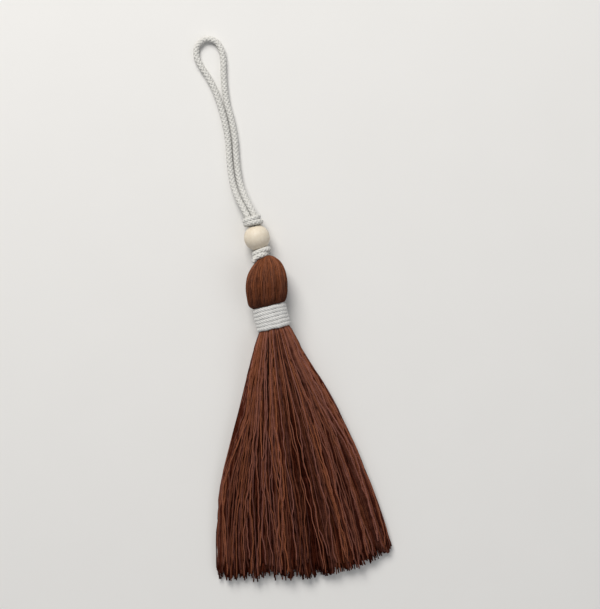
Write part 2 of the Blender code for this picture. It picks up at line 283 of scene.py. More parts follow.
def tube_mesh(name, paths, radii, sides, tints, fade):
    """Closed tubes along the paths, as one mesh: UV is (round the tube, millimetres along it).

    Each tube has its own tint, and "down" runs from 0 at its start to the given end value at its end: brown
    threads are painted darker by it towards their far ends, as painted shade."""
    count, steps, _ = paths.shape
    points = tube_points(paths, radii, sides)
    quads, caps = tube_faces(count, steps, sides)
    mesh = bpy.data.meshes.new(name)
    mesh.vertices.add(len(points))
    mesh.vertices.foreach_set("co", in_row(points).astype(np.float32).ravel())
    corners = np.concatenate([quads.ravel(), caps.ravel()])
    mesh.loops.add(len(corners))
    mesh.loops.foreach_set("vertex_index", corners.astype(np.int32))
    starts = np.concatenate([np.arange(len(quads)) * 4, len(quads) * 4 + np.arange(len(caps)) * 3])
    mesh.polygons.add(len(starts))
    mesh.polygons.foreach_set("loop_start", starts.astype(np.int32))
    mesh.update(calc_edges=True)
    uvs = np.concatenate([wall_uvs(paths, sides), np.tile(ON_A_PLY, (caps.size, 1))])
    mesh.uv_layers.new(name="Thread").data.foreach_set("uv", uvs.astype(np.float32).ravel())
    add_attribute(mesh, "tint", np.concatenate([np.repeat(tints, steps * sides), np.repeat(tints, 2)]))
    wall_down = np.tile(np.repeat(np.linspace(0, fade, steps), sides), count)
    add_attribute(mesh, "down", np.concatenate([wall_down, np.tile([0.0, fade], count)]))
    mesh.validate()
    mesh.shade_smooth()
    return mesh


def place(name, mesh, look):
    made = bpy.data.objects.new(name, mesh)
    mesh.materials.clear()
    mesh.materials.append(look)
    bpy.context.scene.collection.objects.link(made)
    return made


def fit(made):
    """Fixes a piece, placed as it lies, to the body."""
    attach(made, BODY)
    return made


def thread_piece(name, paths, radii, sides, tints, look, fade=1.0):
    return fit(place(name, tube_mesh(name, paths, radii, sides, tints, fade), look))


def lofted(name, rings, look):
    """A closed body through rings of points, with each end closed by a fan."""
    steps, around, _ = rings.shape
    index = np.arange(steps * around).reshape(steps, around)
    after = np.roll(index, -1, axis=1)
    faces = np.stack([index[:-1], index[1:], after[1:], after[:-1]], axis=-1).reshape(-1, 4).tolist()
    first, last = steps * around, steps * around + 1
    faces += [(first, index[0, k], after[0, k]) for k in range(around)]
    faces += [(last, after[-1, k], index[-1, k]) for k in range(around)]
    points = np.concatenate([rings.reshape(-1, 3), rings[:1].mean(1), rings[-1:].mean(1)])
    mesh = bpy.data.meshes.new(name)
    mesh.from_pydata(in_row(points).tolist(), [], faces)
    mesh.update()
    mesh.shade_smooth()
    fit(place(name, mesh, look))


# ---------------------------------------------------------------------------------------------
# Materials
# ---------------------------------------------------------------------------------------------
class Nodes:
    """Adds nodes to a tree and joins them."""

    def __init__(self, tree):
        self.tree = tree

    def add(self, kind, inputs=None, **settings):
        node = self.tree.nodes.new(kind)
        for key, value in settings.items():
            setattr(node, key, value)
        for key, value in (inputs or {}).items():
            if isinstance(value, bpy.types.NodeSocket):
                self.tree.links.new(value, node.inputs[key])
            else:
                node.inputs[key].default_value = value
        return node

    def link(self, start, end):
        self.tree.links.new(start, end)

    def use(self, group_tree, inputs):
        return self.add("ShaderNodeGroup", inputs, node_tree=group_tree)

    def object_place(self):
        return self.add("ShaderNodeTexCoord").outputs["Object"]

    def attribute(self, name):
        return self.add("ShaderNodeAttribute", attribute_name=name).outputs["Fac"]

    def math(self, operation, first, second=0.0):
        return self.add("ShaderNodeMath", {0: first, 1: second}, operation=operation).outputs[0]

    def remap(self, value, low, high, new_low=0.0, new_high=1.0):
        sockets = {0: value, 1: low, 2: high, 3: new_low, 4: new_high}
        return self.add("ShaderNodeMapRange", sockets).outputs[0]

    def noise(self, where, scale, detail, roughness=0.5):
        sockets = {"Vector": where, "Scale": scale, "Detail": detail, "Roughness": roughness}
        return self.add("ShaderNodeTexNoise", sockets).outputs["Fac"]

    def mix(self, share, first, second, blend="MIX"):
        """A colour mix: its sockets are picked by their places, because their names repeat."""
        sockets = {0: share, 6: first, 7: second}
        return self.add("ShaderNodeMix", sockets, data_type="RGBA", blend_type=blend).outputs[2]

    def bump(self, height, strength, depth):
        sockets = {"Height": height, "Strength": strength, "Distance": depth}
        return self.add("ShaderNodeBump", sockets).outputs["Normal"]


def group(name, inputs, outputs):
    """A shader node group with named sockets, and its input and output nodes."""
    tree = bpy.data.node_groups.new(name, "ShaderNodeTree")
    for label, kind, value in inputs:
        socket = tree.interface.new_socket(name=label, in_out="INPUT", socket_type=kind)
        socket.default_value = value
    for label, kind in outputs:
        tree.interface.new_socket(name=label, in_out="OUTPUT", socket_type=kind)
    return tree, tree.nodes.new("NodeGroupInput"), tree.nodes.new("NodeGroupOutput")


def twist_group():
    """Plies laid round a thread: a rounded height with sharp grooves between, and a mask of the grooves for
    painted shade. Pitch is in millimetres.
    """
    tree, given, out = group(
        "twisted plies",
        [("Plies", "NodeSocketFloat", 2.0), ("Pitch", "NodeSocketFloat", 1.5)],
        [("Height", "NodeSocketFloat"), ("Groove shade", "NodeSocketFloat")])
    nodes = Nodes(tree)
    place_uv = nodes.add("ShaderNodeUVMap", uv_map="Thread").outputs["UV"]
    parts = nodes.add("ShaderNodeSeparateXYZ", {0: place_uv})
    round_way = nodes.math("MULTIPLY", parts.outputs["X"], given.outputs["Plies"])
    along = nodes.math("DIVIDE", parts.outputs["Y"], given.outputs["Pitch"])
    along = nodes.math("MULTIPLY", along, given.outputs["Plies"])
    turn = nodes.math("MULTIPLY", nodes.math("ADD", round_way, along), math.pi)
    height = nodes.math("ABSOLUTE", nodes.math("SINE", turn))
    nodes.link(height, out.inputs["Height"])
    nodes.link(nodes.math("POWER", nodes.math("SUBTRACT", 1.0, height), 3.0), out.inputs["Groove shade"])
    return tree


def drift_group():
    """A slow change of shade along and across the threads, with a share for each thread's own tint."""
    tree, given, out = group(
        "shade drift",
        [("Light", "NodeSocketColor", (0.5, 0.5, 0.5, 1.0)),
         ("Dark", "NodeSocketColor", (0.2, 0.2, 0.2, 1.0)),
         ("Scale", "NodeSocketFloat", 200.0), ("Own tint", "NodeSocketFloat", 0.6)],
        [("Color", "NodeSocketColor")])
    nodes = Nodes(tree)
    noise = nodes.noise(nodes.object_place(), given.outputs["Scale"], detail=4.0, roughness=0.6)
    noise = nodes.remap(noise, 0.3, 0.7)
    own = nodes.math("MULTIPLY", nodes.attribute("tint"), given.outputs["Own tint"])
    rest = nodes.math("MULTIPLY", noise, nodes.math("SUBTRACT", 1.0, given.outputs["Own tint"]))
    shade = nodes.math("ADD", own, rest)
    nodes.link(nodes.mix(shade, given.outputs["Dark"], given.outputs["Light"]), out.inputs["Color"])
    return tree


TWIST = twist_group()
DRIFT = drift_group()

WHITE = (1.0, 1.0, 1.0, 1.0)
END_PAINTED_SHADE = (0.49, 0.44, 0.48, 1.0)     # painted shade: a thread's colour is multiplied by this at its far end (the skirt's cut ends, the head's foot at the wrap)
THREAD_GROOVE_SHADE = 0.4                   # painted shade in the ply grooves: their colour as a share of a thread's darkest colour
HUE_SCATTER = 57.0                          # gives threads of nearly the same tint different hues
THREAD_SHEEN = (1.0, 0.75, 0.55, 1.0)
# painted shade in the cord's ply grooves
CORD_GROOVE_SHADE = (0.46, 0.44, 0.41, 1.0)
WOOD_PALE = (0.75, 0.67, 0.54, 1.0)
WOOD_GRAIN = (0.66, 0.55, 0.41, 1.0)
WOOD_CLOUD = (0.77, 0.71, 0.60, 1.0)
GRAIN_STRETCH = (900.0, 130.0, 900.0)       # the grain is long one way, across the bore
FLOOR_TONES = ((0.78, 0.77, 0.75, 1.0), (0.80, 0.79, 0.77, 1.0))


def new_material(name):
    made = bpy.data.materials.new(name)
    made.use_nodes = True
    return made, Nodes(made.node_tree), made.node_tree.nodes["Principled BSDF"]


def brown_thread(name, light, warm, dark, shine):
    """Fine two-ply thread, lighter and warmer at the neck and darker towards the cut ends (on the head,
    towards the wrap), as painted shade; its ply grooves are painted darker too, as painted shade.
    """
    made, nodes, shader = new_material(name)
    hue = nodes.math("SINE", nodes.math("MULTIPLY", nodes.attribute("tint"), HUE_SCATTER))
    lit = nodes.mix(nodes.remap(hue, -1.0, 1.0), light, warm)
    drift = nodes.use(DRIFT, {"Light": lit, "Dark": dark, "Scale": 380.0, "Own tint": 0.74})
    twist = nodes.use(TWIST, {"Plies": 2.0, "Pitch": 1.9})
    # painted shade: the colour darkens towards each thread's far end, for the shade that falls there
    painted_end_shade = nodes.mix(nodes.attribute("down"), WHITE, END_PAINTED_SHADE)
    color = nodes.mix(1.0, drift.outputs["Color"], painted_end_shade, "MULTIPLY")
    # painted shade in the grooves between the plies
    groove_shade_color = tuple(part * THREAD_GROOVE_SHADE for part in dark[:3]) + (1.0,)
    color = nodes.mix(nodes.math("MULTIPLY", twist.outputs["Groove shade"], 0.55), color, groove_shade_color)
    nodes.link(color, shader.inputs["Base Color"])
    bump = nodes.bump(twist.outputs["Height"], strength=0.5, depth=0.08 * MM)
    nodes.link(bump, shader.inputs["Normal"])
    shader.inputs["Roughness"].default_value = 0.55
    shader.inputs["Specular IOR Level"].default_value = shine
    shader.inputs["Sheen Weight"].default_value = shine * 0.3
    shader.inputs["Sheen Roughness"].default_value = 0.4
    shader.inputs["Sheen Tint"].default_value = THREAD_SHEEN
    return made


def white_cord(name, light, dark, plies, pitch):
    """Soft cotton cord, off-white, with painted shade in the grooves between its plies."""
    made, nodes, shader = new_material(name)
    drift = nodes.use(DRIFT, {"Light": light, "Dark": dark, "Scale": 500.0, "Own tint": 0.3})
    twist = nodes.use(TWIST, {"Plies": plies, "Pitch": pitch})
    # painted shade in the grooves between the plies
    groove_shade = nodes.math("MULTIPLY", twist.outputs["Groove shade"], 0.4)
    nodes.link(nodes.mix(groove_shade, drift.outputs["Color"], CORD_GROOVE_SHADE), shader.inputs["Base Color"])
    bump = nodes.bump(twist.outputs["Height"], strength=0.4, depth=0.06 * MM)
    nodes.link(bump, shader.inputs["Normal"])
    shader.inputs["Roughness"].default_value = 0.85
    shader.inputs["Specular IOR Level"].default_value = 0.25
    shader.inputs["Sheen Weight"].default_value = 0.25
    shader.inputs["Sheen Roughness"].default_value = 0.5
    return made


def natural_wood(name):
    """Pale sanded wood with fine grain, clouded here and there."""
    made, nodes, shader = new_material(name)
    where = nodes.object_place()
    stretched = nodes.add("ShaderNodeMapping", {"Vector": where, "Scale": GRAIN_STRETCH}).outputs[0]
    grain = nodes.noise(stretched, scale=1.0, detail=5.0, roughness=0.65)
    cloud = nodes.math("MULTIPLY", nodes.noise(where, scale=160.0, detail=2.0), 0.5)
    color = nodes.mix(nodes.remap(grain, 0.35, 0.7), WOOD_PALE, WOOD_GRAIN)
    nodes.link(nodes.mix(cloud, color, WOOD_CLOUD), shader.inputs["Base Color"])
    nodes.link(nodes.remap(grain, 0.2, 0.8, 0.42, 0.62), shader.inputs["Roughness"])
    nodes.link(nodes.bump(grain, strength=0.15, depth=0.05 * MM), shader.inputs["Normal"])
    shader.inputs["Specular IOR Level"].default_value = 0.35
    return made


def plain_floor(name):
    made, nodes, shader = new_material(name)
    color = nodes.mix(nodes.noise(nodes.object_place(), scale=40.0, detail=3.0), *FLOOR_TONES)
    nodes.link(color, shader.inputs["Base Color"])
    shader.inputs["Roughness"].default_value = 0.8
    return made


SKIRT_THREAD = brown_thread("skirt_thread", light=(0.405, 0.138, 0.064, 1.0),
                            warm=(0.39, 0.160, 0.118, 1.0), dark=(0.030, 0.0035, 0.001, 1.0), shine=0.03)
# painted shade: a darker copy of the skirt's thread colours, for threads lying low in the shade of those
# above
SHADED_SKIRT_THREAD = brown_thread("shaded_skirt_thread", light=(0.24, 0.060, 0.028, 1.0),
                           warm=(0.20, 0.058, 0.038, 1.0), dark=(0.020, 0.0025, 0.001, 1.0), shine=0.0)
HEAD_THREAD = brown_thread("head_thread", light=(0.36, 0.116, 0.044, 1.0), warm=(0.29, 0.113, 0.062, 1.0),
                           dark=(0.032, 0.006, 0.002, 1.0), shine=0.06)
# painted shade: a near-black thread colour for the hidden bodies inside the head and the skirt, standing
# for the shade in there
SHADE_FILL_THREAD = brown_thread("shade_fill_thread", light=(0.05, 0.016, 0.008, 1.0), warm=(0.05, 0.016, 0.008, 1.0),
                            dark=(0.02, 0.007, 0.004, 1.0), shine=0.02)
LOOP_CORD = white_cord("braided_cord", light=(0.72, 0.71, 0.675, 1.0), dark=(0.60, 0.59, 0.555, 1.0),
                       plies=2.0, pitch=1.2)
TURN_CORD = white_cord("wrap_cord", light=(0.68, 0.675, 0.66, 1.0), dark=(0.58, 0.575, 0.555, 1.0),
                       plies=3.0, pitch=1.6)
BEAD_WOOD = natural_wood("bead_wood")
FLOOR = plain_floor("plain_floor")

# ---------------------------------------------------------------------------------------------
# Camera
# ---------------------------------------------------------------------------------------------
CAMERA_ROLL = math.radians(-13.6)     # the neck's lean, seen from above
CAMERA_HEIGHT = 0.75
VIEW_HEIGHT = 0.238                   # what the picture holds from top to bottom, at the surface
VIEW_MIDDLE = (11.0, 5.0)             # across and up the picture, in millimetres from the neck's middle


def camera():
    right = np.array([math.cos(CAMERA_ROLL), math.sin(CAMERA_ROLL)])
    up = np.array([-math.sin(CAMERA_ROLL), math.cos(CAMERA_ROLL)])
    middle = VIEW_MIDDLE[0] * right + VIEW_MIDDLE[1] * up
    lens = bpy.data.cameras.new("camera")
    made = bpy.data.objects.new("camera", lens)
    bpy.context.scene.collection.objects.link(made)
    at = in_row((middle[0], middle[1], 0.0))
    made.location = (at[0], at[1], CAMERA_HEIGHT)
    made.rotation_euler = (0.0, 0.0, CAMERA_ROLL)
    lens.sensor_fit = "VERTICAL"
    lens.sensor_height = 24.0
    lens.lens = lens.sensor_height * CAMERA_HEIGHT / VIEW_HEIGHT
    lens.clip_start = 0.01
    bpy.context.scene.camera = made


camera()

# ---------------------------------------------------------------------------------------------
# Cords
# ---------------------------------------------------------------------------------------------
BRAID_STRANDS = 8
STRAND_SIZE = 1.4                     # a strand's radius times the number of strands, in cord diameters
STRAND_WAVE = 0.036                   # how far the strands rise and sink where they cross, likewise
CORE_OVERLAP = 0.85                   # the core ends this many strand radii in from the cord's outside
CORE_STEP = 1.0                       # length between the core's rings
KNOT_STEP, KNOT_PITCH = 0.28, 5.0     # between the strands' rings, and for one turn of a strand, in a knot


def braid_paths(path, diameter, pitch):
    """The strands of a round braid: half of them turn each way, over and under each other."""
    tangents = directions(path[None])
    normals = carried_normals(tangents)[0]
    across = np.cross(tangents[0], normals)
    run = run_along(path)
    each = BRAID_STRANDS // 2
    strand_radius = diameter * STRAND_SIZE / BRAID_STRANDS
    wave = diameter * STRAND_WAVE
    middle = diameter / 2 - strand_radius - wave
    paths = []
    for way in (1, -1):
        for number in range(each):
            angle = way * 2 * math.pi * run / pitch + 2 * math.pi * number / each
            reach = middle + way * wave * np.cos(each * 2 * math.pi * run / pitch)
            paths.append(path + reach[:, None] * (np.cos(angle)[:, None] * normals
                                                  + np.sin(angle)[:, None] * across))
    return np.array(paths), strand_radius


def braided(name, path, diameter, pitch=6.4, step=0.33, seed=1):
    """A round braided cord and its core, along a path in millimetres. Gives the braid and its even path."""
    path = evenly(path, max(8, int(length_of(path) / step)))
    paths, strand_radius = braid_paths(path, diameter, pitch)
    tints = np.random.default_rng(seed).random(len(paths))
    radii = np.full(paths.shape[:2], strand_radius)
    made = thread_piece(name, paths, radii, 6, tints, LOOP_CORD)
    core = evenly(path, max(6, int(length_of(path) / CORE_STEP)))[None]
    radii = np.full(core.shape[:2], diameter / 2 - strand_radius * CORE_OVERLAP)
    thread_piece(name + "_core", core, radii, 12, np.array([0.5]), LOOP_CORD)
    return made, path


def hanging_loop():
    route = smooth_rows(LOOP_ROUTE, 12)
    loop, path = braided("braided_loop", route, CORD_DIAMETER * 1.04)
    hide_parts("hanging_loop")


hanging_loop()


def knot_band(name, middle, radii, cord, tilt, lean, start, seed):
    """A wrap of cord round the knot: its right side stands higher by tilt and its top side by lean."""
    angle = 2 * math.pi * np.linspace(0.0, 1.1, 60) + start
    wrap = np.column_stack([radii[0] * np.cos(angle), tilt * np.cos(angle) + lean * np.sin(angle),
                            radii[1] * np.sin(angle)]) + middle
    return braided(name, wrap, cord, pitch=KNOT_PITCH, step=KNOT_STEP, seed=seed)[0]


def upper_knot():
    """The knot above the bead: the doubled cord wraps round itself, and its two runs come out on top."""
    middle = np.array([CHAIN_X, UPPER_KNOT_Y, CHAIN_Z])
    low = knot_band("upper_knot_low_wrap", middle + (0.0, -1.3, 0.0), radii=(2.85, 2.75), cord=2.3,
                    tilt=-0.15, lean=0.15, start=3.6, seed=2)
    knot_band("upper_knot_high_wrap", middle + (-0.25, 0.45, 0.1), radii=(2.7, 2.55), cord=2.2,
              tilt=0.25, lean=-0.1, start=0.4, seed=3)
    for name, side, seed in (("left", -1.0, 4), ("right", 1.0, 8)):
        run = smooth_rows([(side * 1.3 - 0.35, 3.0, side * 0.3 + 0.1), (side * 1.2 - 0.3, 1.2, 0.6),
                           (side * 0.9, -0.8, 0.5), (side * 0.7, -2.4, 0.0)], 10) + middle
        braided(f"upper_knot_run_{name}", run, 2.4, seed=seed)
    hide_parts("upper_knot")


def lower_knot():
    """The knot below the bead, over the head's tip, with the cord through the bore and a short cut end."""
    first = knot_band("lower_knot_first_wrap", (2.2, 25.75, CHAIN_Z), radii=(2.75, 2.5), cord=2.4,
                      tilt=0.4, lean=0.15, start=2.6, seed=5)
    knot_band("lower_knot_second_wrap", (1.35, 24.1, CHAIN_Z + 0.2), radii=(2.35, 2.9), cord=2.3,
              tilt=0.35, lean=0.1, start=0.2, seed=9)
    inside = [(CHAIN_X, 24.2, CHAIN_Z), (CHAIN_X, 30.0, CHAIN_Z), (CHAIN_X, 36.6, CHAIN_Z)]
    braided("cord_through_bead", inside, BORE_CORD, seed=6)
    braided("cut_end", smooth_rows(CUT_END_ROUTE, 8), 1.8, pitch=KNOT_PITCH, step=KNOT_STEP, seed=7)
    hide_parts("lower_knot")


upper_knot()
lower_knot()


def neck_wrap():
    """Close turns of thin three-ply cord. Each lies level and steps on to the next one underneath."""
    rng = np.random.default_rng(11)
    turns = np.linspace(0.0, WRAP_TURNS - 0.02, 1500)
    share = turns / WRAP_TURNS
    underneath = -0.45 * math.pi
    stepping = 0.14                                       # share of a turn in which it steps on
    stepped = np.floor(turns) + ease((turns % 1.0 - (1 - stepping)) / stepping)
    stepped = np.minimum(stepped, WRAP_TURNS - 1)
    angle = 2 * math.pi * turns + underneath
    ply_radius = WRAP_CORD * 0.36
    flat, wide = WRAP_CORD * 0.17, WRAP_CORD * 0.29       # the cord is pressed flat against the neck
    radius = WRAP_RADIUS - ply_radius - flat + 0.06 * wander(rng, 1, share, 30)[0]
    uneven = 0.11 * wander(rng, 1, share, 30)[0]
    along = (WRAP_HALF - ply_radius - wide) * (1 - 2 * stepped / (WRAP_TURNS - 1)) + uneven
    path = np.column_stack([radius * np.cos(angle), along, NECK_Z + radius * np.sin(angle)])
    outward = np.column_stack([np.cos(angle), np.zeros_like(angle), np.sin(angle)])
    run = run_along(path)
    swell = 1 + 0.09 * wander(rng, 1, share, 60)[0]
    count, lay = 3, 3.4                                   # plies, and the length of one turn of a ply
    plies = []
    for ply in range(count):
        turn = 2 * math.pi * run / lay + 2 * math.pi * ply / count
        plies.append(path + flat * np.cos(turn)[:, None] * outward
                     + wide * np.sin(turn)[:, None] * np.array([0.0, 1.0, 0.0]))
    made = thread_piece("neck_wrap_turns", np.array(plies), np.tile(ply_radius * swell, (count, 1)), 7,
                        rng.random(count), TURN_CORD)
    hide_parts("neck_wrap")


neck_wrap()


# ---------------------------------------------------------------------------------------------
# Bead
# ---------------------------------------------------------------------------------------------
def bead():
    """A turned wooden ball with a drilled bore and softened rims."""
    mouth = math.asin(BORE_RADIUS / BEAD_RADIUS)
    start = mouth + 0.09                                  # the ball stops short of the bore's softened rim
    steps = 40
    outline = []
    for i in range(steps + 1):
        angle = start + (math.pi - 2 * start) * i / steps
        outline.append((BEAD_RADIUS * math.sin(angle), BEAD_RADIUS * math.cos(angle)))
    rim = BEAD_RADIUS * math.cos(mouth)
    rounded, inner_rounded, straight = 0.12, 0.06, 0.35
    outline += [(BORE_RADIUS + rounded, -rim + inner_rounded), (BORE_RADIUS, -rim + straight),
                (BORE_RADIUS, 0.0), (BORE_RADIUS, rim - straight),
                (BORE_RADIUS + rounded, rim - inner_rounded)]
    mesh = bpy.data.meshes.new("wooden_bead")
    count = len(outline)
    mesh.from_pydata([(radius * MM, 0.0, along * MM) for radius, along in outline],
                     [(i, (i + 1) % count) for i in range(count)], [])
    made = place("wooden_bead", mesh, BEAD_WOOD)
    screw = made.modifiers.new("Turn", "SCREW")
    screw.steps = screw.render_steps = 72
    screw.use_merge_vertices = True
    screw.merge_threshold = 0.00001
    screw.use_smooth_shade = True
    made.location = tuple(BEAD_AT)
    made.rotation_euler = (math.radians(-90), 0.0, 0.0)
    fit(made)
    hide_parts("bead")


bead()


# ---------------------------------------------------------------------------------------------
# Head
# ---------------------------------------------------------------------------------------------
def gathered(rng, count, mean_size):
    """Splits threads that lie side by side into small locks: the number of each thread's lock."""
    lock = np.cumsum(rng.random(count) < 1 / mean_size)
    return lock - lock[0]


def lock_middles(lock, values):
    """The mean of the threads' values in each lock."""
    return np.array([values[lock == number].mean() for number in range(lock[-1] + 1)])


def head_surface(places, angles, proud):
    """Points on the head: places runs from 0 at the tip to 1 at the wrap, proud is out from the surface."""
    rows = smooth_rows(HEAD, 8)
    share = np.linspace(0, 1, len(rows))
    along, lean, half_width, axis_z, half_height = [np.interp(places, share, rows[:, c]) for c in range(5)]
    x = lean + (half_width + proud) * np.cos(angles)
    z = axis_z + (half_height + proud) * np.sin(angles)
    return np.stack([x, along, np.maximum(z, HEAD_FOOT)], axis=-1)


def head_threads():
    """Threads from the head's tip to the wrap, drawn into locks over its belly, with a slight twist."""
    rng = np.random.default_rng(21)
    count, steps, thread = 440, 32, 0.21
    places = np.linspace(0.0, 1.0, steps)
    start = 2 * math.pi * ranks(rng, count)
    lock = gathered(rng, count, 6.0)
    middle = lock_middles(lock, start)
    pull = rng.uniform(0.0, 0.45, len(middle))[lock]
    belly = np.sin(math.pi * places) ** 0.7
    angles = start[:, None] + ((middle[lock] - start) * pull)[:, None] * belly
    angles += 0.05 * wander(rng, count, places, 1.3) + 0.016 * wander(rng, count, places, 6.0)
    twist = 0.25
    angles += twist * (places - 0.5)
    thinning = 0.65 + 0.35 * np.sin(math.pi * np.clip(places, 0.02, 0.98)) ** 0.6
    radii = thread * thinning * varied(rng, count, 0.75, 1.15)
    sunk = rng.random(count) ** 1.5
    lift = rng.normal(0, 0.09, len(middle))[lock]
    proud = -radii + (lift - 0.36 * sunk)[:, None] * belly + 0.05 * wander(rng, count, places, 2.5)
    paths = head_surface(np.tile(places, (count, 1)), angles, proud)
    # painted shade: sunk threads are painted darker, on top of random tone
    tints = np.clip(1.12 - 0.5 * sunk - 0.9 * rng.random(count), 0.0, 1.0)
    thread_piece("head_threads", paths, radii, 5, tints, HEAD_THREAD)


def head_heart():
    """Painted shade: a dark body inside the head, within the threads, for the shade in there."""
    steps, around, inset = 28, 64, 0.6
    places = np.repeat(np.linspace(0.0, 1.0, steps)[:, None], around, axis=1)
    angles = np.tile(2 * math.pi * np.arange(around) / around, (steps, 1))
    lofted("head_heart", head_surface(places, angles, -inset), SHADE_FILL_THREAD)


# ---------------------------------------------------------------------------------------------
# Skirt
# ---------------------------------------------------------------------------------------------
SKIRT_ROWS = smooth_rows(SKIRT, 12)
SKIRT_RUN = run_along(SKIRT_ROWS[:, 2:4])     # along the middle of the skirt
SKIRT_LENGTH = SKIRT_RUN[-1]
SKIRT_RUN = SKIRT_RUN / SKIRT_LENGTH


def lock_reach(u):
    """How much longer or shorter the skirt is at u, as a share of its length: broad, shallow scallops."""
    return (0.9 * np.sin(4.3 * u + 0.6) + 0.6 * np.sin(9.1 * u + 2.0)) / SKIRT_LENGTH


def valley(down):
    """The valley's left edge, right edge and depth, at the given shares of the skirt's length."""
    table = np.array(VALLEY)
    return [np.interp(down, table[:, 0], table[:, column]) for column in (1, 2, 3)]


def valley_share(u, down):
    """How far into the valley a place is: 0 on the lobes and 1 in the middle of the valley."""
    left, right, _ = valley(down)
    return ease((u - left) / 0.13) * ease((right - u) / 0.16)


def skirt_columns(down):
    """The skirt's rows at the given shares of its length. Past the last one they run straight on, level."""
    columns = [np.interp(down, SKIRT_RUN, SKIRT_ROWS[:, c]) for c in range(SKIRT_ROWS.shape[1])]
    slope = (SKIRT_ROWS[-1] - SKIRT_ROWS[-8]) / (SKIRT_RUN[-1] - SKIRT_RUN[-8])
    over = np.maximum(down - 1.0, 0.0)
    return [column + slope[c] * over * (c < 6) for c, column in enumerate(columns)]


def skirt_point(u, w, down, radius):
    """Where a thread lies: u across the skirt, w from the underside to the crown, down its length."""
    left_x, left_y, mid_x, mid_y, right_x, right_y, axis_z, rise = skirt_columns(down)
    x = mid_x + (right_x - left_x) / 2 * u + ((right_x + left_x) / 2 - mid_x) * u * u
    y = mid_y + (right_y - left_y) / 2 * u + ((right_y + left_y) / 2 - mid_y) * u * u
    crown = np.sqrt(np.maximum(0.0, 1 - u * u))
    top = axis_z + rise * crown - valley(down)[2] * valley_share(u, down)
    bottom = np.maximum(0.0, axis_z - UNDERSIDE_DEPTH * crown)
    z = bottom + radius + np.maximum(top - bottom - 2 * radius, 0.0) * w
    reach = ease(down / SPREAD_START)
    neck_x = NECK_RADIUS * NECK_PACKING * u
    neck_y = HIDDEN_LENGTH - SHOULDER
    neck_z = NECK_Z + NECK_RADIUS * NECK_PACKING * (2 * w - 1) * crown
    return np.stack([neck_x + (x - neck_x) * reach, neck_y + (y - neck_y) * reach,
                     neck_z + (z - neck_z) * reach], axis=-1)


def half_width(down):
    left_x, left_y, _, _, right_x, right_y, _, _ = skirt_columns(down)
    return np.hypot(right_x - left_x, right_y - left_y) / 2


def rest_on_floor(paths, radii):
    """Lifts what would lie below the floor."""
    paths[..., 2] = np.maximum(paths[..., 2], radii + FLOOR_GAP)


# sunk is how far the threads lie below the crown (or above the floor), thread their radius, and sway and
# kink their slow and quick sideways waves, in millimetres. ends is their mean length and spread its
# scatter, as shares of the skirt's. tint is the range of their tints, lower for the deeper layers as
# painted shade, and the column after it how far they are darkened towards their far ends, as painted shade.
# lock is the mean number in a lock, and part the share of the lobes' parting.
Layer = namedtuple("Layer", "name look count steps sides top sunk thread tint fade ends spread sway kink "
                            "lock part seed")
LAYERS = [
    Layer("skirt_raised_threads", SKIRT_THREAD, count=46, steps=104, sides=6, top=True, sunk=(0.0, 0.7),
          thread=0.29, tint=(0.3, 1.0), fade=0.5, ends=0.985, spread=0.022, sway=1.4, kink=0.20, lock=1.8,
          part=0.8, seed=41),
    Layer("skirt_top_threads", SKIRT_THREAD, count=92, steps=92, sides=5, top=True, sunk=(0.35, 1.3),
          thread=0.27, tint=(0.0, 0.60), fade=0.8, ends=0.995, spread=0.017, sway=1.1, kink=0.17, lock=2.5,
          part=0.4, seed=42),
    Layer("skirt_second_threads", SHADED_SKIRT_THREAD, count=190, steps=60, sides=5, top=True, sunk=(1.0, 2.2),
          thread=0.27, tint=(0.0, 0.42), fade=0.7, ends=0.99, spread=0.018, sway=0.9, kink=0.15, lock=5.0,
          part=0.0, seed=43),
    Layer("skirt_deep_threads", SHADED_SKIRT_THREAD, count=200, steps=44, sides=5, top=True, sunk=(1.8, 2.7),
          thread=0.27, tint=(0.0, 0.3), fade=0.8, ends=1.0, spread=0.012, sway=0.7, kink=0.12, lock=6.0,
          part=0.0, seed=46),
    Layer("skirt_under_threads", SKIRT_THREAD, count=210, steps=48, sides=5, top=False, sunk=(0.0, 0.6),
          thread=0.26, tint=(0.0, 0.8), fade=0.8, ends=1.0, spread=0.013, sway=0.9, kink=0.16, lock=3.0,
          part=0.0, seed=44),
]
FRIZZ, FRIZZ_CYCLES = 0.30, 15.0      # the tangle of quick waves by the neck: sideways
RUFFLE, RUFFLE_CYCLES = 0.12, 17.0    # and up and down
TANGLE_LENGTH = 0.3                   # the share of the length in which it falls away


def parted(u0):
    """How far a thread moves away from the gap between the lobes, across the skirt."""
    return np.where(u0 > PARTING, 0.22 * np.exp(-(u0 - PARTING) / 0.22),
                    -0.10 * np.exp((u0 - PARTING) / 0.2))


